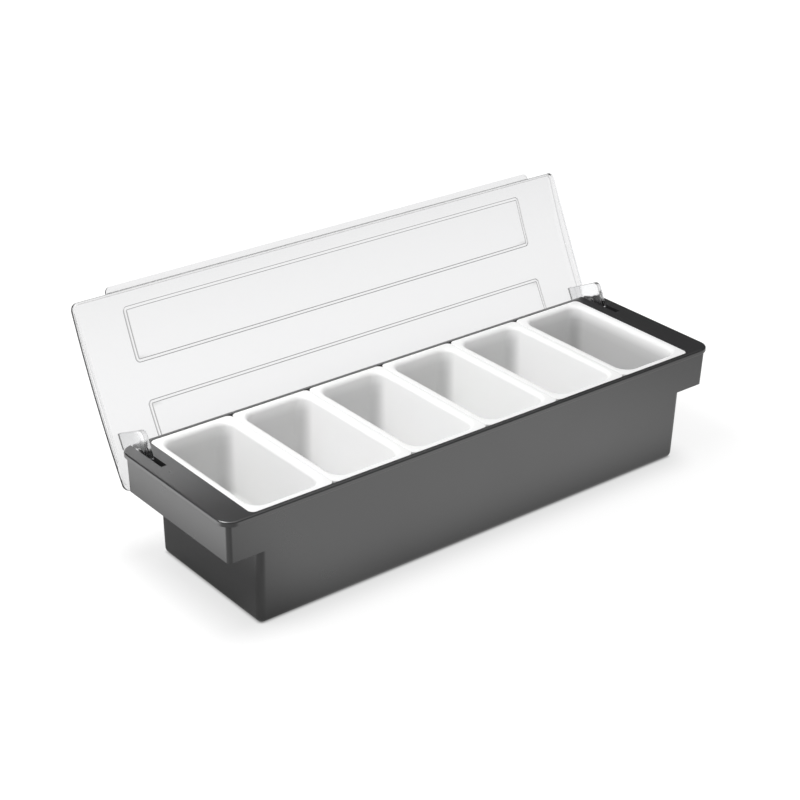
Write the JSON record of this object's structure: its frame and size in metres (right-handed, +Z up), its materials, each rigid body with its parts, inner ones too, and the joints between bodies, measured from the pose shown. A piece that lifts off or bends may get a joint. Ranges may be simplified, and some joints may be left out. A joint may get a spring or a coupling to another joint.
{
  "type": "condiment caddy",
  "caption": "Long bar caddy with lift-out inserts in a row, hollow ears as handles and a clear arched lid that swings back on hooked side arms.",
  "frame": {"origin": "middle of the flat base, on the surface the caddy stands on", "axes": "+X along the length to the right, +Y from the front to the hinge side, +Z up"},
  "size_m": [0.5, 0.2105, 0.2024],
  "materials": {
    "housing": "satin charcoal moulding",
    "insert": "glossy white moulding",
    "lid": "clear, polished",
    "arm": "clear, polished",
    "pin": "turned"
  },
  "bodies": {
    "housing_body": {"housing": "housing", "hinge_pin_left": "pin", "hinge_pin_right": "pin"},
    "lid": {"lid_panel": "lid", "hinge_arm_left": "arm", "hinge_arm_right": "arm"},
    "insert_1_body": {"insert_1": "insert"},
    "insert_2_body": {"insert_2": "insert"},
    "insert_3_body": {"insert_3": "insert"},
    "insert_4_body": {"insert_4": "insert"},
    "insert_5_body": {"insert_5": "insert"},
    "insert_6_body": {"insert_6": "insert"}
  },
  "joints": [
    {"name": "lid_hinge", "type": "hinge", "parent": "housing_body", "child": "lid", "pos_m": [0, 0.05925, 0.0845], "axis": [-1, 0, 0], "range_deg": [-116.54, 0]},
    {"name": "insert_1_lift", "type": "slide", "parent": "housing_body", "child": "insert_1_body", "axis": [0, 0, 1], "range_m": [0, 0.1]},
    {"name": "insert_2_lift", "type": "slide", "parent": "housing_body", "child": "insert_2_body", "axis": [0, 0, 1], "range_m": [0, 0.1]},
    {"name": "insert_3_lift", "type": "slide", "parent": "housing_body", "child": "insert_3_body", "axis": [0, 0, 1], "range_m": [0, 0.1]},
    {"name": "insert_4_lift", "type": "slide", "parent": "housing_body", "child": "insert_4_body", "axis": [0, 0, 1], "range_m": [0, 0.1]},
    {"name": "insert_5_lift", "type": "slide", "parent": "housing_body", "child": "insert_5_body", "axis": [0, 0, 1], "range_m": [0, 0.1]},
    {"name": "insert_6_lift", "type": "slide", "parent": "housing_body", "child": "insert_6_body", "axis": [0, 0, 1], "range_m": [0, 0.1]}
  ]
}
